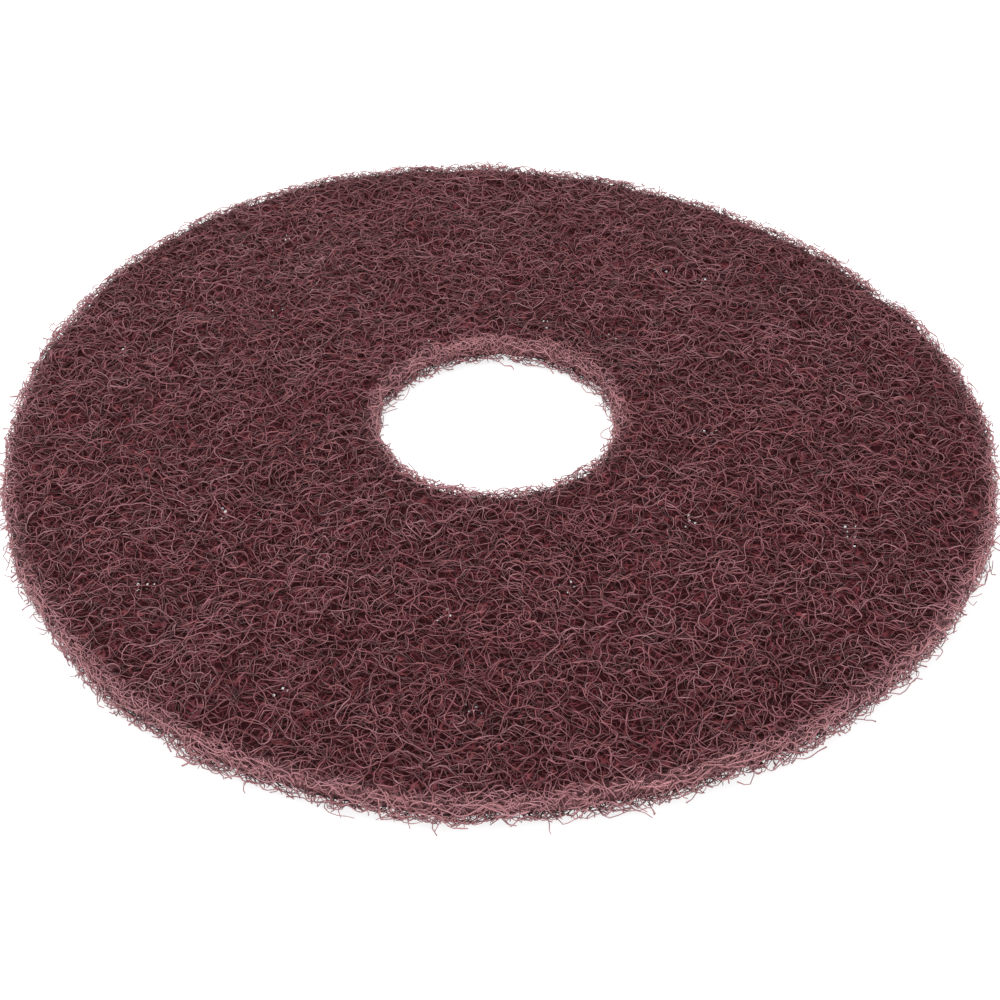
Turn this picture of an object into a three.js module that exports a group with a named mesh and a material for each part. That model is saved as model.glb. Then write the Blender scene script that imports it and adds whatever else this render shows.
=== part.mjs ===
// A floor polishing pad: one disc of open fibre web, cut to a round outline with a round centre hole.
// Millimetres, +Z up. The origin is the middle of the hole, on the face that lies on the floor.
import * as THREE from 'three';
import { mergeVertices } from 'three/addons/utils/BufferGeometryUtils.js';

// Driving sizes of the cut disc
const padDiameter = 330;
const holeDiameter = 82;
const padThickness = 11;
const cornerRadius = 1;

// The soft disc isn't truly round: it is a little oval, has three low lobes, and the hole is off its middle
const ovalGrowth = 2.9;
const ovalAngle = THREE.MathUtils.degToRad(-48);
const lobeGrowth = 2.35;
const lobeCount = 3;
const holeOffset = 2;

// Fibre ends make both cut edges ragged. Each wave has its own whole number of crests around the edge
const raggedDepth = 0.8;
const raggedCrests = [11, 19, 31];

// Hollows between the fibre bundles of the upper face. What lies between them stays at full thickness
const hollowDepth = 1.2;
const hollowSpacing = 27;
const hollowWaves = 6;
const hollowWaveStretch = 0.13;
const hollowStart = 0.1;
const hollowFull = 0.55;
const goldenAngle = Math.PI * (3 - Math.sqrt(5));

// Fineness of the mesh. The steps across the upper face grow outwards, as the steps around do
const stepsAround = 144;
const stepsAcross = 20;
const stepGrowth = 2.2;
const stepsRoundCorner = 2;
const stepsDownWall = 2;

const webColour = 0x573438;
const webRoughness = 0.95;

const padRadius = padDiameter / 2;
const holeRadius = holeDiameter / 2;

// A value from -1 to 1 that wanders along a cut edge and closes on itself after one turn
function raggedness(angle, turn) {
  const waves = raggedCrests.map((crests, n) => Math.sin(crests * angle + turn * (n + 1)));
  return waves.reduce((sum, wave) => sum + wave, 0) / waves.length;
}

// The radius of the outer cut at an angle about the hole's middle
function outerEdge(angle) {
  const shift = -holeOffset * Math.cos(angle);
  const oval = ovalGrowth * Math.cos(2 * (angle - ovalAngle));
  const lobes = lobeGrowth * Math.cos(lobeCount * angle);
  return padRadius + shift + oval + lobes + raggedDepth * raggedness(angle, 1);
}

// The radius of the hole's cut at an angle
function holeEdge(angle) {
  return holeRadius + raggedDepth * raggedness(angle, 2);
}

// How deep the upper face lies below full thickness at a place. Waves in directions that never line
// up are added, and only their crests count, so the hollows are scattered and flat web is left between
function hollow(x, y) {
  let sum = 0;
  for (let n = 0; n < hollowWaves; n += 1) {
    const direction = n * goldenAngle;
    const spacing = hollowSpacing * (1 + n * hollowWaveStretch);
    const along = x * Math.cos(direction) + y * Math.sin(direction);
    sum += Math.sin((2 * Math.PI * along) / spacing + n);
  }
  const crest = (2 * sum) / hollowWaves;
  return hollowDepth * THREE.MathUtils.smoothstep(crest, hollowStart, hollowFull);
}

// A quarter turn of the section's corner about its centre, without its first point
function corner(centreRadius, centreHeight, startAngle) {
  return Array.from({ length: stepsRoundCorner }, (_, n) => {
    const angle = startAngle + ((n + 1) / stepsRoundCorner) * (Math.PI / 2);
    return new THREE.Vector2(
      centreRadius + cornerRadius * Math.cos(angle),
      centreHeight + cornerRadius * Math.sin(angle),
    );
  });
}

// Points from one to the other, without the first. The last step is growth times the first
function straight(from, to, steps, growth = 1) {
  const rate = Math.log(growth);
  const share = (n) => (rate ? Math.expm1((rate * n) / steps) / Math.expm1(rate) : n / steps);
  return Array.from({ length: steps }, (_, n) => from.clone().lerp(to, share(n + 1)));
}

// The closed section of the disc, radius against height, from the underside outwards and round
function section() {
  const low = cornerRadius;
  const high = padThickness - cornerRadius;
  const inner = holeRadius + cornerRadius;
  const outer = padRadius - cornerRadius;
  const start = new THREE.Vector2(inner, 0);
  const points = [start, new THREE.Vector2(outer, 0)];
  points.push(...corner(outer, low, -Math.PI / 2));
  points.push(...straight(points.at(-1), new THREE.Vector2(padRadius, high), stepsDownWall));
  points.push(...corner(outer, high, 0));
  const innerTop = new THREE.Vector2(inner, padThickness);
  points.push(...straight(points.at(-1), innerTop, stepsAcross, 1 / stepGrowth));
  points.push(...corner(inner, high, Math.PI / 2));
  points.push(...straight(points.at(-1), new THREE.Vector2(holeRadius, low), stepsDownWall));
  points.push(...corner(inner, low, Math.PI).slice(0, -1));
  points.push(start.clone());
  return points;
}

// The disc: the section turned about the hole's axis, then drawn out to the two cut edges and
// pressed down into its hollows
function webGeometry() {
  const turned = new THREE.LatheGeometry(section(), stepsAround);
  turned.rotateX(Math.PI / 2);
  turned.deleteAttribute('normal');
  turned.deleteAttribute('uv');
  const geometry = mergeVertices(turned, 1e-3);
  const place = geometry.getAttribute('position');
  for (let n = 0; n < place.count; n += 1) {
    const angle = Math.atan2(place.getY(n), place.getX(n));
    const radius = Math.hypot(place.getX(n), place.getY(n));
    const share = (radius - holeRadius) / (padRadius - holeRadius);
    const drawn = THREE.MathUtils.lerp(holeEdge(angle), outerEdge(angle), share);
    const x = drawn * Math.cos(angle);
    const y = drawn * Math.sin(angle);
    const height = place.getZ(n) * (1 - hollow(x, y) / padThickness);
    place.setXYZ(n, x, y, height);
  }
  geometry.computeVertexNormals();
  return geometry;
}

const webMaterial = new THREE.MeshStandardMaterial({
  color: webColour,
  roughness: webRoughness,
  metalness: 0,
});

const polishingPad = new THREE.Mesh(webGeometry(), webMaterial);
polishingPad.name = 'polishing_pad';

const floorPad = new THREE.Group();
floorPad.add(polishingPad);

export default floorPad;
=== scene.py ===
# The looks of a floor polishing pad, dressed over its solid: an open web of curled, resin-coated fibres.
import math

import bpy
import numpy as np
from bpy.props import FloatProperty, FloatVectorProperty, IntProperty, PointerProperty
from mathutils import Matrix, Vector


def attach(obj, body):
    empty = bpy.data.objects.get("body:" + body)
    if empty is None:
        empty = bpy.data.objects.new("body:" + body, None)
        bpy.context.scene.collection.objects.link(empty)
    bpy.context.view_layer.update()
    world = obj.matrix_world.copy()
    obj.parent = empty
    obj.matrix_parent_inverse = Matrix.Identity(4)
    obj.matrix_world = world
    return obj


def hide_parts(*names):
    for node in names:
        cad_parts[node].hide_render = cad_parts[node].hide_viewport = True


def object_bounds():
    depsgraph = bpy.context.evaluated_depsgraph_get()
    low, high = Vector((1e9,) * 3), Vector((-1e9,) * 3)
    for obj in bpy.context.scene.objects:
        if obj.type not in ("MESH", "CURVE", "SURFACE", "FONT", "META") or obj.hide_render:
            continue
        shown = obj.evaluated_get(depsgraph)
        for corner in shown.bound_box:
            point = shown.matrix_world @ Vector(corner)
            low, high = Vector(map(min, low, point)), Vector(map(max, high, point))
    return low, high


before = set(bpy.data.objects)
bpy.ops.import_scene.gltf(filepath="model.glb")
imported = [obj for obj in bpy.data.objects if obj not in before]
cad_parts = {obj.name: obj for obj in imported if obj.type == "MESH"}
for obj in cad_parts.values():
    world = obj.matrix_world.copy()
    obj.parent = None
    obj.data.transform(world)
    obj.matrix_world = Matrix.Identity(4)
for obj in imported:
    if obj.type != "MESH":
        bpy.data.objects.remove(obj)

bl_info = {
    "name": "Floor Polishing Pad",
    "version": (1, 0, 0),
    "blender": (4, 5, 0),
    "location": "3D View > Sidebar > Floor Pad",
    "description": "Builds the fibre web of a floor polishing pad around its solid",
    "category": "Object",
}

TAU = 2 * math.pi
GOLDEN_ANGLE = math.pi * (3 - math.sqrt(5))
MM = 0.001
PAD_NODE = "polishing_pad"
CAD_LOW, CAD_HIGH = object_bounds()
THICKNESS = CAD_HIGH.z - CAD_LOW.z
CORNER_RADIUS = 1.0 * MM
PORE_LENGTH = 24 * MM
STRAND_CORNERS = np.radians([90, 210, 330])

# The least height of a strand's middle line over the floor
FLOOR_GAP = 0.3 * MM

# Numbers that keep the random draws of the groups of pieces apart
UPPER_DRAWS, LOWER_DRAWS, EDGE_DRAWS, PORE_DRAWS = 0, 10, 20, 30

# The colour sockets of a Mix node, which share their names with its other sockets
MIX_FIRST, MIX_SECOND, MIX_RESULT = 6, 7, 2


def srgb(*channels):
    """A colour picked as 0 to 255 values, as the linear values that Blender's sockets take."""
    shares = [channel / 255 for channel in channels]
    return tuple(s / 12.92 if s <= 0.04045 else ((s + 0.055) / 1.055) ** 2.4 for s in shares)


# Settings that a user would change


class WebSettings(bpy.types.PropertyGroup):
    """Sizes of the fibres and of the web that they make."""

    fibre_width: FloatProperty(
        name="Fibre width", description="Across one coated fibre", default=0.34 * MM, unit="LENGTH",
        precision=5,
    )
    shortest_step: FloatProperty(
        name="Shortest step", description="Of a fibre where it bends most", default=0.9 * MM, unit="LENGTH"
    )
    longest_step: FloatProperty(
        name="Longest step", description="Of a fibre where it runs straight", default=2.4 * MM, unit="LENGTH"
    )
    step_turn: FloatProperty(
        name="Turn in a step", description="Most that a fibre turns from step to step",
        default=math.radians(36), subtype="ANGLE",
    )
    curl: FloatProperty(
        name="Curl", description="Usual bend of a fibre, in radians for each metre", default=470.0
    )
    tightest_curl: FloatProperty(
        name="Tightest curl", description="Most bend of a fibre, in radians for each metre", default=640.0,
    )
    curl_memory: FloatProperty(
        name="Curl memory", description="Length over which a fibre keeps its bend", default=2.8 * MM,
        unit="LENGTH",
    )
    layer_depth: FloatProperty(
        name="Layer depth", description="How deep the separate fibres of a face lie", default=2.3 * MM,
        unit="LENGTH",
    )
    edge_inset: FloatProperty(
        name="Edge inset", description="Bare fibres left at a cut edge", default=1.0 * MM, unit="LENGTH"
    )
    hollow_depth: FloatProperty(
        name="Hollow depth", description="Deepest hollow of the upper face", default=1.2 * MM, unit="LENGTH"
    )
    hollow_spacing: FloatProperty(
        name="Hollow spacing", description="Shortest spacing of the hollows", default=27 * MM, unit="LENGTH"
    )
    seed: IntProperty(name="Seed", description="Picks another tangle of the same web", default=7, min=0)


class FinishSettings(bpy.types.PropertyGroup):
    """Colours and gloss of the coated fibres."""

    fibre_dark: FloatVectorProperty(
        name="Dark fibre", description="Fibres with the thickest coat", default=srgb(92, 50, 56),
        subtype="COLOR",
    )
    fibre_mid: FloatVectorProperty(
        name="Usual fibre", description="Most of the fibres", default=srgb(129, 75, 81), subtype="COLOR"
    )
    fibre_light: FloatVectorProperty(
        name="Light fibre", description="Thinly coated fibres", default=srgb(151, 107, 113), subtype="COLOR"
    )
    fibre_brick: FloatVectorProperty(
        name="Brick patches", description="Warmer patches of the dye", default=srgb(132, 74, 76),
        subtype="COLOR",
    )
    # Partly painted light: the cut ends' pinker tone, made paler for the light that falls on the rim and
    # shines through its thin fibres
    edge_pink_painted_light: FloatVectorProperty(
        name="Cut edge", description="Fibre ends at the cut edges", default=srgb(200, 143, 148),
        subtype="COLOR",
    )
    # Painted shade: the dark between the fibres stands for the shade deep in the web
    deep_web_painted_shade: FloatVectorProperty(
        name="Deep web", description="What shows between the fibres", default=srgb(40, 11, 14),
        subtype="COLOR",
    )
    # Painted shade: strands far down in the web are drawn darker than the fibres over them
    deep_strand_painted_shade: FloatVectorProperty(
        name="Deep strands", description="Strands far down in the web", default=srgb(108, 52, 58),
        subtype="COLOR",
    )
    gloss_roughness: FloatProperty(
        name="Roughness", description="Of the cured resin coat", default=0.42, min=0, max=1, subtype="FACTOR"
    )


class StageSettings(bpy.types.PropertyGroup):
    """Camera, floor and lights."""

    camera_distance: FloatProperty(
        name="Camera distance", description="From the hole's middle", default=542.5 * MM, unit="LENGTH"
    )
    camera_height: FloatProperty(
        name="Camera height angle", description="Above the floor", default=math.radians(38.29),
        subtype="ANGLE",
    )
    aim: FloatVectorProperty(
        name="Aim", description="Point in the middle of the view",
        default=(0.9 * MM, -46.7 * MM, THICKNESS), subtype="TRANSLATION", unit="LENGTH",
    )
    lens: FloatProperty(name="Lens", description="Focal length in millimetres", default=57.34, unit="CAMERA")
    sky_strength: FloatProperty(name="Sky", description="Light from all round", default=0.85)
    lamp_power: FloatProperty(
        name="Lamp power", description="Of the overhead lamp", default=13.0, unit="POWER"
    )


# Form of the disc


def settings():
    """The three groups of settings of this scene."""
    scene = bpy.context.scene
    return scene.pad_web, scene.pad_finish, scene.pad_stage


def draws(group, number=0):
    """The random draws of one piece, the same in every run."""
    return np.random.default_rng([settings()[0].seed, group + number])


def vertex_places(mesh):
    """The places of a mesh's vertices, one row each."""
    places = np.empty(len(mesh.vertices) * 3)
    mesh.vertices.foreach_get("co", places)
    return places.reshape(-1, 3)


class CutEdge:
    """One cut edge of the disc: its radius at any angle about the hole's axis, read off the solid's wall."""

    def __init__(self, outer):
        middle_band, decimals = 0.2, 5
        points = vertex_places(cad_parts[PAD_NODE].data)
        radius = np.hypot(points[:, 0], points[:, 1])
        middle_ring = np.abs(points[:, 2] / THICKNESS - 0.5) < middle_band
        wall = points[middle_ring & ((radius > radius.mean()) == outer)]
        angle = np.round(np.arctan2(wall[:, 1], wall[:, 0]), decimals)
        self.angle, first = np.unique(angle, return_index=True)
        self.radius = np.hypot(wall[first, 0], wall[first, 1])

    def at(self, x, y):
        """The edge's radius in the direction of a place."""
        return np.interp(np.arctan2(y, x), self.angle, self.radius, period=TAU)


OUTER_EDGE = CutEdge(outer=True)
HOLE_EDGE = CutEdge(outer=False)


def smoothstep(value, low, high):
    """From 0 to 1 as the value goes from one limit to the other, with soft ends."""
    share = np.clip((value - low) / (high - low), 0, 1)
    return share * share * (3 - 2 * share)


def edge_distance(x, y):
    """How far a place lies inside the nearer cut edge. It is negative past the edge."""
    radius = np.hypot(x, y)
    return np.minimum(OUTER_EDGE.at(x, y) - radius, radius - HOLE_EDGE.at(x, y))


def upper_face(x, y):
    """Height of the upper face: full thickness, less the hollows, and rounded down at the cut edges."""
    web = settings()[0]
    waves, stretch, start, full = 6, 0.13, 0.1, 0.55
    total = 0
    for n in range(waves):
        spacing = web.hollow_spacing * (1 + n * stretch)
        along = x * math.cos(n * GOLDEN_ANGLE) + y * math.sin(n * GOLDEN_ANGLE)
        total = total + np.sin(TAU * along / spacing + n)
    hollow = web.hollow_depth * smoothstep(2 * total / waves, start, full)
    return THICKNESS - hollow - rounding(edge_distance(x, y))


def rounding(distance):
    """How far a rounded corner falls away from one of its faces, at a distance from the other."""
    past = np.clip(CORNER_RADIUS - distance, 0, CORNER_RADIUS)
    return CORNER_RADIUS - np.sqrt(CORNER_RADIUS**2 - past**2)


# Meshes


def deselect_all():
    bpy.ops.object.select_all(action="DESELECT")


def make_active(piece):
    deselect_all()
    piece.select_set(True)
    bpy.context.view_layer.objects.active = piece


def hand_over(piece, material):
    """Gives a finished piece its material and its body, and hides the solid that it stands for."""
    piece.data.materials.clear()
    piece.data.materials.append(material)
    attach(piece, "root")
    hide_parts(PAD_NODE)


def displace(piece, kind, grain, strength):
    """Pushes the faces in and out by one of Blender's own textures."""
    texture = bpy.data.textures.new(f"{piece.name}_{kind.lower()}", kind)
    texture.noise_scale = grain
    change = piece.modifiers.new(texture.name, "DISPLACE")
    change.texture = texture
    change.texture_coords = "LOCAL"
    change.strength = strength
    change.mid_level = 0.5
    bpy.ops.object.modifier_apply(modifier=change.name)


def turned_ring():
    """A ring of the disc's size, with small quads: a standing grid's outline, spun round the hole's axis."""
    columns, rows, turns, weld = 36, 5, 300, 0.01 * MM
    inner, outer = HOLE_EDGE.radius.mean(), OUTER_EDGE.radius.mean()
    middle = ((inner + outer) / 2, 0, THICKNESS / 2)
    bpy.ops.mesh.primitive_grid_add(
        x_subdivisions=columns, y_subdivisions=rows, size=1, location=middle, rotation=(math.pi / 2, 0, 0)
    )
    ring = bpy.context.object
    bpy.ops.object.transform_apply()
    bpy.ops.object.mode_set(mode="EDIT")
    bpy.ops.transform.resize(value=(outer - inner, 1, THICKNESS), center_override=middle)
    bpy.ops.mesh.region_to_loop()
    bpy.ops.mesh.select_all(action="INVERT")
    bpy.ops.mesh.select_mode(type="VERT")
    bpy.ops.mesh.delete(type="VERT")
    bpy.ops.mesh.select_all(action="SELECT")
    bpy.ops.mesh.spin(steps=turns, angle=TAU, center=(0, 0, 0), axis=(0, 0, 1))
    bpy.ops.mesh.select_all(action="SELECT")
    bpy.ops.mesh.remove_doubles(threshold=weld)
    bpy.ops.mesh.normals_make_consistent(inside=False)
    bpy.ops.object.mode_set(mode="OBJECT")
    return ring, inner, outer


# Fibres


def wander(rng, starts, steps):
    """Tracks of curled fibres in a plane, one from each start, and how far along its fibre each point is.
    The bend of a fibre drifts from step to step and turns over within its memory, which gives arcs, hooks
    and loops. Its steps are short where it bends and long where it runs straight."""
    web = settings()[0]
    count, calmest, liveliest = len(starts), 0.7, 1.3
    liveliness = rng.uniform(calmest, liveliest, count) * web.curl
    bend = np.clip(rng.normal(size=count) * liveliness, -web.tightest_curl, web.tightest_curl)
    heading = rng.uniform(0, TAU, count)
    place, along = np.array(starts), np.zeros(count)
    track, lengths = [place], [along]
    for _ in range(steps - 1):
        step = np.clip(web.step_turn / np.maximum(np.abs(bend), 1), web.shortest_step, web.longest_step)
        heading = heading + bend * step / 2
        place = place + step[:, None] * np.stack([np.cos(heading), np.sin(heading)], axis=1)
        heading = heading + bend * step / 2
        along = along + step
        track.append(place)
        lengths.append(along)
        keep = np.exp(-step / web.curl_memory)
        bend = keep * bend + np.sqrt(1 - keep * keep) * rng.normal(size=count) * liveliness
        bend = np.clip(bend, -web.tightest_curl, web.tightest_curl)
    return np.stack(track, axis=1), np.stack(lengths, axis=1)


def least_crowded(track, along, kept):
    """Leaves out the fibres that lie where most others do, until as many as wanted are left. This keeps
    the web even, as the machine that lays it does."""
    cell, dropped_share = 3 * MM, 0.04
    flat = track[..., 0], track[..., 1]
    column, row = (np.floor((place - place.min()) / cell).astype(int) for place in flat)
    cells = column * (row.max() + 1) + row
    length = np.diff(along, axis=1, append=along[:, -1:])
    left = np.arange(len(track))
    while len(left) > kept:
        load = np.bincount(cells[left].ravel(), weights=length[left].ravel(), minlength=cells.max() + 1)
        crowding = (load[cells[left]] * length[left]).sum(axis=1) / along[left, -1]
        drop = min(len(left) - kept, math.ceil(dropped_share * len(left)))
        left = left[np.argsort(crowding)[:-drop]]
    left.sort()
    return track[left], along[left]


def swell(rng, along, height, shortest, longest):
    """How far each fibre rises and dips along its length: a slow wave of its own."""
    one_each, least_share = (len(along), 1), 0.3
    length = rng.uniform(shortest, longest, one_each)
    phase = rng.uniform(0, TAU, one_each)
    return height * rng.uniform(least_share, 1, one_each) * np.sin(TAU * along / length + phase)


def dive(along, depth, reach):
    """How far the two ends of each fibre run down into the web."""
    to_end = np.minimum(along, along[:, -1:] - along)
    return depth * (1 - smoothstep(to_end, 0, reach))


def with_height(track, height):
    """Flat tracks, lifted to a height at each point."""
    return np.concatenate([track, height[..., None]], axis=2)


def scatter(rng, count, inner, outer):
    """Places spread evenly over a ring, as a sunflower's seeds are, each then moved a little."""
    jitter = 0.3
    turn = np.arange(count) + rng.uniform(-jitter, jitter, count)
    angle = rng.uniform(0, TAU) + turn * GOLDEN_ANGLE
    share = (np.arange(count) + rng.uniform(0, 1, count)) / count
    radius = np.sqrt(inner**2 + (outer**2 - inner**2) * share)
    return np.stack([radius * np.cos(angle), radius * np.sin(angle)], axis=1)


def runs_inside(track, inside, shortest=4):
    """The unbroken stretches of a track that lie inside, leaving out those with few points."""
    turns = np.flatnonzero(np.diff(np.concatenate([[0], inside.astype(int), [0]])))
    return [track[a:b] for a, b in zip(turns[::2], turns[1::2]) if b - a >= shortest]


def cut_to_pad(rng, tracks, usual_overshoot=0.5 * MM, pulled_share=0.0, deepest=1.0):
    """The stretches of the tracks that a cutter leaves, down to a distance inside the edge. Each fibre is
    cut a little off the edge, and some are pulled well out of it."""
    longest_overshoot, back = 2.6 * MM, 0.2 * MM
    shortest_pull, longest_pull = 2.4 * MM, 5.2 * MM
    stretches = []
    for track in tracks:
        overshoot = min(rng.exponential(usual_overshoot), longest_overshoot) - back
        if rng.random() < pulled_share:
            overshoot = rng.uniform(shortest_pull, longest_pull)
        inside = edge_distance(track[:, 0], track[:, 1])
        stretches += runs_inside(track, (inside > -overshoot) & (inside < deepest))
    return stretches


def strand_section(width):
    """The three-cornered section of a strand, as a closed curve."""
    outline = bpy.data.curves.new("strand_section", "CURVE")
    spline = outline.splines.new("POLY")
    spline.points.add(len(STRAND_CORNERS) - 1)
    x, y = np.cos(STRAND_CORNERS) * width / 2, np.sin(STRAND_CORNERS) * width / 2
    spline.points.foreach_set("co", np.stack([x, y, np.zeros_like(x), np.ones_like(x)], axis=1).ravel())
    spline.use_cyclic_u = True
    section = bpy.data.objects.new("strand_section", outline)
    bpy.context.collection.objects.link(section)
    return section


def strand_thickness(rng, count):
    """How thick a strand is at each of its points, as a share of the usual width. It is a little uneven,
    has beads of resin here and there, and ends thin, plain or clotted."""
    thinnest, thickest, unevenness = 0.85, 1.12, 0.08
    bead_share, bead, ends = 0.035, 1.5, (0.8, 1.0, 1.6)
    thick = rng.uniform(thinnest, thickest) + rng.uniform(-unevenness, unevenness, count)
    thick[rng.random(count) < bead_share] *= bead
    thick[[0, -1]] *= rng.choice(ends, 2)
    return thick


def lay_strands(name, stretches, rng, material):
    """One piece of separate strands, each a closed three-sided tube along its stretch. Each strand carries
    its shade, its depth in the web and how near it is to a cut."""
    weld = 0.001 * MM
    section = strand_section(settings()[0].fibre_width)
    line = bpy.data.curves.new(name, "CURVE")
    line.dimensions = "3D"
    for stretch in stretches:
        spline = line.splines.new("POLY")
        spline.points.add(len(stretch) - 1)
        spline.points.foreach_set("co", np.column_stack([stretch, np.ones(len(stretch))]).ravel())
        spline.points.foreach_set("radius", strand_thickness(rng, len(stretch)))
    line.bevel_mode = "OBJECT"
    line.bevel_object = section
    line.use_fill_caps = True
    piece = bpy.data.objects.new(name, line)
    bpy.context.collection.objects.link(piece)
    make_active(piece)
    bpy.ops.object.convert(target="MESH")
    piece = bpy.context.object
    bpy.data.objects.remove(section)
    mark_strands(piece.data, stretches, rng.normal(size=len(stretches)))
    bpy.ops.object.mode_set(mode="EDIT")
    bpy.ops.mesh.select_all(action="SELECT")
    bpy.ops.mesh.remove_doubles(threshold=weld)
    bpy.ops.mesh.normals_make_consistent(inside=False)
    bpy.ops.object.mode_set(mode="OBJECT")
    bpy.ops.object.shade_smooth()
    hand_over(piece, material)


def mark(mesh, name, values):
    """Writes one number to each point, which the material reads by this name."""
    mesh.attributes.new(name, "FLOAT", "POINT").data.foreach_set("value", values.astype(np.float32))


def mark_strands(mesh, stretches, shade):
    """Writes to each point its strand's random shade, how deep it lies in the web, which the fibres' material
    turns into painted shade, and how near it is to a cut.
    The two closing caps of each strand come first in the mesh, in the strands' reverse order, and the
    tubes follow in order, with one ring of points for each point of the stretch."""
    edge_depth, lit, dark = 0.5 * MM, 0.15 * MM, 2.0 * MM
    corners = len(STRAND_CORNERS)
    counts = np.array([len(stretch) for stretch in stretches])
    caps, tubes = np.repeat(shade[::-1], 2 * corners), np.repeat(shade, corners * counts)
    mark(mesh, "shade", np.concatenate([caps, tubes]))
    x, y, z = vertex_places(mesh).T
    near_face = np.minimum(np.abs(upper_face(x, y) - z), np.abs(z))
    near_edge = np.maximum(edge_distance(x, y), 0)
    # How deep a point lies sets how much painted shade the fibres' material gives it
    mark(mesh, "depth", smoothstep(np.minimum(near_face, near_edge + edge_depth), lit, dark))
    mark_cut(mesh, x, y)


def mark_cut(mesh, x, y):
    """Writes to each point how near it is to a cut edge."""
    past_cut, inside_cut = -0.5 * MM, 6 * MM
    mark(mesh, "cut", 1 - smoothstep(edge_distance(x, y), past_cut, inside_cut))


# Shader expressions


class Wire:
    """A shader's output socket, on which Python's signs add Math nodes."""

    def __init__(self, maker, socket):
        self.maker = maker
        self.socket = socket

    def math(self, operation, *terms):
        """The output of a Math node that works on these terms."""
        return self.maker.node("ShaderNodeMath", {"operation": operation}, dict(enumerate(terms)))

    def __add__(self, other):
        return self.math("ADD", self, other)

    __radd__ = __add__

    def __mul__(self, other):
        return self.math("MULTIPLY", self, other)

    __rmul__ = __mul__

    def __sub__(self, other):
        return self.math("SUBTRACT", self, other)

    def __rsub__(self, other):
        return self.math("SUBTRACT", other, self)

    def __abs__(self):
        return self.math("ABSOLUTE", self)

    def highest(self, other):
        """The larger of the two."""
        return self.math("MAXIMUM", self, other)


class Finish:
    """One material in the making. Its one method adds a node of any type."""

    def __init__(self, name):
        self.material = bpy.data.materials.new(name)
        self.material.use_nodes = True
        self.tree = self.material.node_tree
        self.tree.nodes.clear()

    def node(self, kind, choices=None, values=None, output=0):
        """Adds a node. Its choices are set first, then each socket gets its value or its link."""
        node = self.tree.nodes.new(kind)
        for name, choice in (choices or {}).items():
            setattr(node, name, choice)
        for name, value in (values or {}).items():
            if isinstance(value, Wire):
                self.tree.links.new(value.socket, node.inputs[name])
            else:
                node.inputs[name].default_value = value
        return Wire(self, node.outputs[output])

    def place(self):
        """The place on the piece, in its own frame."""
        return self.node("ShaderNodeTexCoord", output="Object")

    def attribute(self, name):
        """A number that the piece's points carry."""
        return self.node("ShaderNodeAttribute", {"attribute_name": name}, output="Fac")

    def noise(self, place, spacing, detail=2, output="Fac"):
        """A noise whose lumps are about this far apart."""
        sockets = {"Vector": place, "Scale": 1 / spacing, "Detail": detail, "Roughness": 0.5}
        return self.node("ShaderNodeTexNoise", None, sockets, output)

    def ramp(self, value, low, high, to_low=0.0, to_high=1.0):
        """The value, moved smoothly from one range to another."""
        sockets = {"Value": value, "From Min": low, "From Max": high, "To Min": to_low, "To Max": to_high}
        return self.node("ShaderNodeMapRange", {"interpolation_type": "SMOOTHSTEP"}, sockets)

    def mix(self, factor, first, second):
        """A mix of two colours."""
        first, second = (colour if isinstance(colour, Wire) else (*colour, 1) for colour in (first, second))
        sockets = {0: factor, MIX_FIRST: first, MIX_SECOND: second}
        return self.node("ShaderNodeMix", {"data_type": "RGBA"}, sockets, MIX_RESULT)

    def shifted(self, place, amount, spacing):
        """The place, pushed about by a noise, so that what is drawn there bends."""
        colour, middle = self.noise(place, spacing, detail=1, output="Color"), (0.5, 0.5, 0.5)
        push = self.node("ShaderNodeVectorMath", {"operation": "SUBTRACT"}, {0: colour, 1: middle})
        scaled = self.node("ShaderNodeVectorMath", {"operation": "SCALE"}, {0: push, "Scale": amount})
        return self.node("ShaderNodeVectorMath", {"operation": "ADD"}, {0: place, 1: scaled})

    def surface(self, values):
        """Ends the material in one principled shader with these sockets."""
        self.end_in(self.node("ShaderNodeBsdfPrincipled", None, values))
        return self.material

    def end_in(self, shader):
        """Links the last shader to the material's output."""
        output = self.tree.nodes.new("ShaderNodeOutputMaterial")
        self.tree.links.new(shader.socket, output.inputs["Surface"])


def drawn_strands(finish, place, spacing, width):
    """Strands drawn on a face, along the line where a noise has its middle value. It curls and never ends."""
    core, rim = 0.18, 0.44
    off_line = abs(finish.noise(place, spacing, detail=0) - 0.5)
    return finish.ramp(off_line, core * width / spacing, rim * width / spacing, 1, 0)


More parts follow.
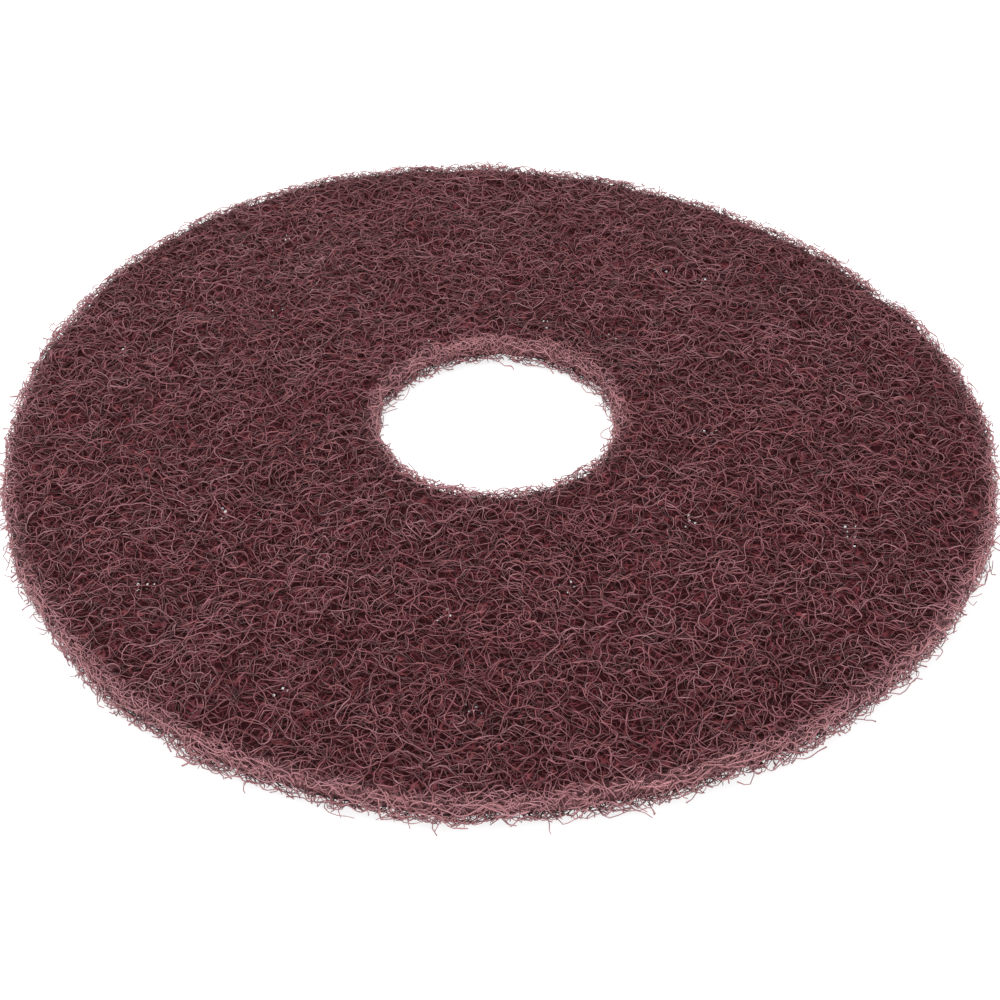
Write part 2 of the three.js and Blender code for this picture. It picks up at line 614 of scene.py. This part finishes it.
def strand_finish():
    """The coated fibres: dyed resin in three shades, warmer in patches, darker deep in the web by painted
    shade, and paler where cut, partly by painted light.
    """
    light_shades, dark_shades = (0.2, 2.2), (-0.2, -2.0)
    patch_size, patch_limits, most_brick = 30 * MM, (0.42, 0.66), 0.35
    gloom_size, gloom_limits, most_gloom = 14 * MM, (0.35, 0.6), 0.14
    pink_and_painted_light_at_cut, painted_shade_when_deep = 0.5, 0.85
    grit_size, grit_height, grit_limits, smoother, rougher = 0.35 * MM, 0.08 * MM, (0.3, 0.7), 0.08, 0.14
    colours = settings()[1]
    finish = Finish("coated_fibre")
    place = finish.place()
    shade = finish.attribute("shade")
    light = finish.mix(finish.ramp(shade, *light_shades), colours.fibre_mid, colours.fibre_light)
    base = finish.mix(finish.ramp(shade, *dark_shades), light, colours.fibre_dark)
    patches = finish.ramp(finish.noise(place, patch_size), *patch_limits, 0, most_brick)
    base = finish.mix(patches, base, colours.fibre_brick)
    # Paler and pinker towards the cut edges: the cut ends' tone, partly painted light for the lit,
    # translucent rim
    base = finish.mix(finish.attribute("cut") * pink_and_painted_light_at_cut, base, colours.edge_pink_painted_light)
    gloom = finish.ramp(finish.noise(place, gloom_size, detail=3), *gloom_limits, most_gloom, 0)
    # Painted shade: points deep in the web darken towards the web's painted shade colour, while the gloom
    # patches darken at random
    base = finish.mix(gloom.highest(finish.attribute("depth") * painted_shade_when_deep), base, colours.deep_web_painted_shade)
    grit = finish.noise(place, grit_size)
    bump = finish.node("ShaderNodeBump", None, {"Height": grit, "Strength": 0.5, "Distance": grit_height})
    smoothest, roughest = colours.gloss_roughness - smoother, colours.gloss_roughness + rougher
    return finish.surface({
        "Base Color": base,
        "Roughness": finish.ramp(grit, *grit_limits, smoothest, roughest),
        "Specular IOR Level": 0.4,
        "Normal": bump,
    })


def deep_finish():
    """The web below the separate fibres: dark with painted shade, and layers of strands drawn one over
    another, the lower ones darker by painted shade.
    """
    flattening, bend, bend_spacing = (1, 1, 0.4), 1.6 * MM, 3 * MM
    strand_width, strand_height, dull = 0.3 * MM, 0.4 * MM, 0.9
    pink_and_painted_light_between, pink_and_painted_light_on_strands = 0.14, 0.5
    colours = settings()[1]
    finish = Finish("deep_web_painted_shade")
    flat = finish.node("ShaderNodeMapping", None, {"Vector": finish.place(), "Scale": flattening})
    bent = finish.shifted(flat, bend, bend_spacing)
    strands = 0
    # Painted shade: each later layer of drawn strands is darker, as strands lying lower in the web
    for spacing, move, painted_light_level in (
        (4.6 * MM, 0.0, 1.0), (4.1 * MM, 0.31, 0.8), (3.6 * MM, 0.57, 0.6), (3.1 * MM, 0.83, 0.4),
    ):
        sockets = {"Vector": bent, "Location": (move, move / 2, move / 3)}
        moved = finish.node("ShaderNodeMapping", None, sockets)
        layer = drawn_strands(finish, moved, spacing, strand_width) * painted_light_level
        strands = layer.highest(strands)
    base = finish.mix(strands, colours.deep_web_painted_shade, colours.deep_strand_painted_shade)
    # Paler and pinker near the cut edges, most on the drawn strands: partly the cut ends' tone, partly
    # painted light over the shade under the rim
    pink_and_painted_light = finish.attribute("cut") * (pink_and_painted_light_between + pink_and_painted_light_on_strands * strands)
    base = finish.mix(pink_and_painted_light, base, colours.edge_pink_painted_light)
    relief = {"Height": strands, "Strength": 1.0, "Distance": strand_height}
    bump = finish.node("ShaderNodeBump", None, relief)
    return finish.surface({
        "Base Color": base,
        "Roughness": finish.ramp(strands, 0, 1, dull, colours.gloss_roughness),
        "Specular IOR Level": 0.08,
        "Normal": bump,
    })


# Operators, one for each group of pieces


class PAD_OT_inner_web(bpy.types.Operator):
    """Builds the inside of the web, dark with painted shade, which shows between the fibres"""

    bl_idname = "pad.inner_web"
    bl_label = "Inner Web"

    def execute(self, context):
        deselect_all()
        ring, inner, outer = turned_ring()
        ring.name = "inner_web"
        make_active(ring)
        fit_inside_web(ring.data, inner, outer)
        for grain, strength in ((5 * MM, 1.1 * MM), (2.2 * MM, 0.7 * MM)):
            displace(ring, "CLOUDS", grain, strength)
        pierce(ring, draws(PORE_DRAWS))
        mark_cut(ring.data, *vertex_places(ring.data).T[:2])
        bpy.ops.object.shade_smooth()
        hand_over(ring, deep_finish())
        return {"FINISHED"}


def fit_inside_web(mesh, inner, outer):
    """Draws the plain ring out to the two cut edges and to the upper face, as far below them as the separate
    fibres reach. Its walls lean inwards, most of all at the floor."""
    low_undercut, high_undercut = 1.2 * MM, 0.8 * MM
    below_face, bottom = 2.5 * MM, 2.0 * MM
    x, y, z = vertex_places(mesh).T
    height = z / THICKNESS
    across = (np.hypot(x, y) - inner) / (outer - inner)
    angle = np.arctan2(y, x)
    undercut = low_undercut * (1 - height) ** 3 + high_undercut * height**6
    inset = settings()[0].edge_inset + undercut
    low, high = HOLE_EDGE.at(x, y) + inset, OUTER_EDGE.at(x, y) - inset
    radius = low + (high - low) * across
    x, y = radius * np.cos(angle), radius * np.sin(angle)
    top = upper_face(x, y) - below_face
    mesh.vertices.foreach_set("co", np.stack([x, y, bottom + (top - bottom) * height], axis=1).ravel())
    mesh.update()


def pore_lines(rng):
    """Where each pore runs: a place, a direction and a width. The pores stand in small groups, each group
    slanted towards a point on one of several sides, and no two pores meet. Widths are in millimetres until
    the last step."""
    groups, pores_in_group, sides = 110, 7, 5
    slant, far, group_reach, apart = math.radians(38.3), 0.54, 3.4 * MM, 1.25 * MM
    margin, narrowest, widest = 9 * MM, 0.6, 1.1
    steps = np.linspace(-0.5, 0.5, 25)[:, None] * PORE_LENGTH
    taken, lines = [], []
    middles = scatter(rng, groups, HOLE_EDGE.radius.max() + margin, OUTER_EDGE.radius.min() - margin)
    for group, middle in enumerate(middles):
        azimuth = TAU * (group % sides) / sides - TAU / 4
        level = far * math.cos(slant)
        goal = np.array([level * math.cos(azimuth), level * math.sin(azimuth), far * math.sin(slant)])
        for _ in range(pores_in_group):
            turn, out = rng.uniform(0, TAU), group_reach * math.sqrt(rng.random())
            x, y = middle[0] + out * math.cos(turn), middle[1] + out * math.sin(turn)
            place = np.array([x, y, THICKNESS / 2])
            direction = (goal - place) / np.linalg.norm(goal - place)
            width = rng.uniform(narrowest, widest) * MM
            run = place + direction * steps
            if all(np.linalg.norm(run[:, None] - other[None], axis=2).min() > apart for other in taken):
                taken.append(run)
                lines.append((place, direction, width))
    return lines


def pierce(piece, rng):
    """Cuts slanted pores through a piece, so that what lies behind the web shows in them."""
    pore_sides = 5
    deselect_all()
    bpy.ops.mesh.primitive_cylinder_add()
    tool = bpy.context.object
    bpy.ops.object.mode_set(mode="EDIT")
    bpy.ops.mesh.delete(type="VERT")
    for place, direction, width in pore_lines(rng):
        bpy.ops.mesh.primitive_cylinder_add(
            vertices=pore_sides, radius=width / 2, depth=PORE_LENGTH, location=place,
            rotation=Vector(direction).to_track_quat("Z", "Y").to_euler(),
        )
    bpy.ops.object.mode_set(mode="OBJECT")
    make_active(piece)
    cut = piece.modifiers.new("pores", "BOOLEAN")
    cut.operation = "DIFFERENCE"
    cut.solver = "EXACT"
    cut.object = tool
    bpy.ops.object.modifier_apply(modifier=cut.name)
    bpy.data.objects.remove(tool)


class PAD_OT_face_fibres(bpy.types.Operator):
    """Lays the separate fibres over the upper face and the underside"""

    bl_idname = "pad.face_fibres"
    bl_label = "Face Fibres"

    def execute(self, context):
        material = strand_finish()
        upper_pieces, shallowest = 3, 0.1 * MM
        for number in range(upper_pieces):
            rng = draws(UPPER_DRAWS, number)
            track, depth = face_fibres(rng, 2600, 1600, (0.15, 0.85), wave=1.1 * MM, end_dive=1.4 * MM)
            height = upper_face(track[..., 0], track[..., 1]) - np.maximum(depth, shallowest)
            stretches = cut_to_pad(rng, with_height(track, height))
            lay_strands(f"upper_fibres_{number + 1}", stretches, rng, material)
        rng = draws(LOWER_DRAWS)
        track, depth = face_fibres(rng, 2800, 1700, (0.1, 0.6), wave=0.9 * MM, end_dive=1.2 * MM)
        height = np.maximum(depth, FLOOR_GAP) + rounding(edge_distance(track[..., 0], track[..., 1]))
        lay_strands("lower_fibres", cut_to_pad(rng, with_height(track, height)), rng, material)
        return {"FINISHED"}


def face_fibres(rng, laid, kept, levels, wave, end_dive):
    """Tracks of the fibres of a face, which run past both cut edges, and how deep in it each point lies.
    The levels are the least and the most depth of a whole fibre, as shares of the layer's depth."""
    steps, margin = 26, 14 * MM
    shortest_wave, longest_wave, dive_reach = 5 * MM, 12 * MM, 4 * MM
    inner, outer = HOLE_EDGE.radius.mean() - margin, OUTER_EDGE.radius.max() + margin
    track, along = wander(rng, scatter(rng, laid, inner, outer), steps)
    track, along = least_crowded(track, along, kept)
    level = rng.uniform(*levels, (len(track), 1)) * settings()[0].layer_depth
    waves = swell(rng, along, wave, shortest_wave, longest_wave)
    return track, level + waves + dive(along, end_dive, dive_reach)


def folded(value, low, high):
    """The value turned back at each limit, as a fibre that meets a face turns back into the web."""
    span = high - low
    return low + span - np.abs((value - low) % (2 * span) - span)


class PAD_OT_edge_fibres(bpy.types.Operator):
    """Covers the two cut edges with a tangle of cut fibres, and pulls some ends out of it"""

    bl_idname = "pad.edge_fibres"
    bl_label = "Edge Fibres"

    def execute(self, context):
        material = bpy.data.materials["coated_fibre"]
        level_for_each = 6
        for number, (name, edge, outwards, count) in enumerate((
            ("outer_edge_fibres", OUTER_EDGE, 1, 1500),
            ("hole_edge_fibres", HOLE_EDGE, -1, 380),
        )):
            rng = draws(EDGE_DRAWS, number)
            fibres = wall_fibres(rng, edge, outwards, count)
            fibres += level_fibres(rng, edge, count * level_for_each)
            lay_strands(name, fibres, rng, material)
        return {"FINISHED"}


def wall_fibres(rng, edge, outwards, count):
    """Fibres that run up and down a cut edge, just inside it. How proud of it they lie is drawn in
    millimetres."""
    steps, top_gap, deepest, proudest = 8, 0.5 * MM, -2.2, 0.7
    wave, shortest_wave, longest_wave = 0.9 * MM, 4 * MM, 11 * MM
    middle = edge.radius.mean()
    starts = np.stack([rng.uniform(0, TAU * middle, count), rng.uniform(0, THICKNESS, count)], axis=1)
    track, along = wander(rng, starts, steps)
    angle = track[..., 0] / middle
    height = folded(track[..., 1], FLOOR_GAP, THICKNESS - top_gap)
    proud = rng.uniform(deepest, proudest, (count, 1)) * MM
    proud = proud + swell(rng, along, wave, shortest_wave, longest_wave)
    set_back = rounding(np.minimum(height, THICKNESS - height))
    radius = edge.at(np.cos(angle), np.sin(angle)) + outwards * (proud - set_back)
    return list(np.stack([radius * np.cos(angle), radius * np.sin(angle), height], axis=2))


def level_fibres(rng, edge, count):
    """Fibres that lie level at every height of a cut edge, a few more of them low, and end where the cutter
    met them."""
    steps, reach, lowness, top_gap = 11, 5 * MM, 1.25, 0.15 * MM
    wave, shortest_wave, longest_wave = 1.6 * MM, 5 * MM, 13 * MM
    middle = edge.radius.mean()
    track, along = wander(rng, scatter(rng, count, middle - reach, middle + reach), steps)
    level = rng.random((count, 1)) ** lowness * THICKNESS
    level = level + swell(rng, along, wave, shortest_wave, longest_wave)
    top = upper_face(track[..., 0], track[..., 1]) - top_gap
    tracks = with_height(track, np.minimum(folded(level, FLOOR_GAP, THICKNESS), top))
    return cut_to_pad(rng, tracks, usual_overshoot=1.0 * MM, pulled_share=0.05, deepest=4.5 * MM)


class PAD_OT_stage(bpy.types.Operator):
    """Sets up the white floor, the soft light and the camera"""

    bl_idname = "pad.stage"
    bl_label = "Stage"

    def execute(self, context):
        make_floor()
        make_lights()
        make_camera()
        return {"FINISHED"}


def make_floor():
    """A wide white floor. The camera sees it nearly as bright as paper, and its shadow stays."""
    radius, corners, plain_grey, seen_grey, seen_glow = 6, 96, 230, 160, 0.7
    deselect_all()
    bpy.ops.mesh.primitive_circle_add(vertices=corners, radius=radius, fill_type="NGON", location=(0, 0, 0))
    floor = bpy.context.object
    floor.name = "floor"
    finish = Finish("white_floor")
    plain, dim = (
        finish.node("ShaderNodeBsdfDiffuse", None, {"Color": (*srgb(grey, grey, grey), 1)})
        for grey in (plain_grey, seen_grey)
    )
    glow = finish.node("ShaderNodeEmission", None, {"Color": (1, 1, 1, 1), "Strength": seen_glow})
    seen = finish.node("ShaderNodeAddShader", None, {0: dim, 1: glow})
    camera_ray = finish.node("ShaderNodeLightPath", output="Is Camera Ray")
    finish.end_in(finish.node("ShaderNodeMixShader", None, {0: camera_ray, 1: plain, 2: seen}))
    floor.data.materials.append(finish.material)


def make_lights():
    """Soft light from all round, which the camera sees as white, and two broad lamps, over the pad and in
    front of it."""
    stage = settings()[2]
    world = bpy.data.worlds.new("studio")
    world.use_nodes = True
    bpy.context.scene.world = world
    tree = world.node_tree
    sky = tree.nodes["Background"]
    paths = tree.nodes.new("ShaderNodeLightPath")
    strength = tree.nodes.new("ShaderNodeMapRange")
    strength.inputs["To Min"].default_value = stage.sky_strength
    strength.inputs["To Max"].default_value = 1
    sky.inputs["Color"].default_value = (1, 1, 1, 1)
    tree.links.new(paths.outputs["Is Camera Ray"], strength.inputs["Value"])
    tree.links.new(strength.outputs["Result"], sky.inputs["Strength"])
    for name, place, size, power_share in (
        ("overhead_lamp", (-0.35, 0.25, 1.1), 0.9, 1.0),
        ("front_lamp", (0.25, -1.1, 0.75), 0.7, 0.6),
    ):
        lamp = bpy.data.lights.new(name, "AREA")
        lamp.size = size
        lamp.energy = stage.lamp_power * power_share
        holder = bpy.data.objects.new(name, lamp)
        bpy.context.collection.objects.link(holder)
        holder.location = place
        holder.rotation_euler = (-Vector(place)).to_track_quat("-Z", "Y").to_euler()


def make_camera():
    """The camera at the photo's place, looking down on the pad from the front."""
    stage = settings()[2]
    camera = bpy.data.objects.new("camera", bpy.data.cameras.new("camera"))
    bpy.context.collection.objects.link(camera)
    camera.data.lens = stage.lens
    camera.data.clip_start, camera.data.clip_end = 0.01, 50
    back = stage.camera_distance * math.cos(stage.camera_height)
    up = stage.camera_distance * math.sin(stage.camera_height)
    camera.location = (0, -back, THICKNESS + up)
    camera.rotation_euler = (Vector(stage.aim) - camera.location).to_track_quat("-Z", "Y").to_euler()
    bpy.context.scene.camera = camera


class PAD_PT_sidebar(bpy.types.Panel):
    """Lists the pad's settings and steps"""

    bl_idname = "PAD_PT_sidebar"
    bl_label = "Floor Polishing Pad"
    bl_space_type = "VIEW_3D"
    bl_region_type = "UI"
    bl_category = "Floor Pad"

    def draw(self, context):
        for group in settings():
            box = self.layout.box()
            for name in group.bl_rna.properties.keys():
                if name not in {"rna_type", "name"}:
                    box.prop(group, name)
        for operator in OPERATORS:
            self.layout.operator(operator.bl_idname)


OPERATORS = (PAD_OT_stage, PAD_OT_inner_web, PAD_OT_face_fibres, PAD_OT_edge_fibres)
CLASSES = (WebSettings, FinishSettings, StageSettings, *OPERATORS, PAD_PT_sidebar)


def register():
    for cls in CLASSES:
        bpy.utils.register_class(cls)
    bpy.types.Scene.pad_web = PointerProperty(type=WebSettings)
    bpy.types.Scene.pad_finish = PointerProperty(type=FinishSettings)
    bpy.types.Scene.pad_stage = PointerProperty(type=StageSettings)


def unregister():
    del bpy.types.Scene.pad_stage
    del bpy.types.Scene.pad_finish
    del bpy.types.Scene.pad_web
    for cls in reversed(CLASSES):
        bpy.utils.unregister_class(cls)


def main():
    register()
    bpy.context.scene.view_settings.view_transform = "Standard"
    bpy.ops.pad.stage()
    bpy.ops.pad.inner_web()
    bpy.ops.pad.face_fibres()
    bpy.ops.pad.edge_fibres()


if __name__ == "__main__":
    main()
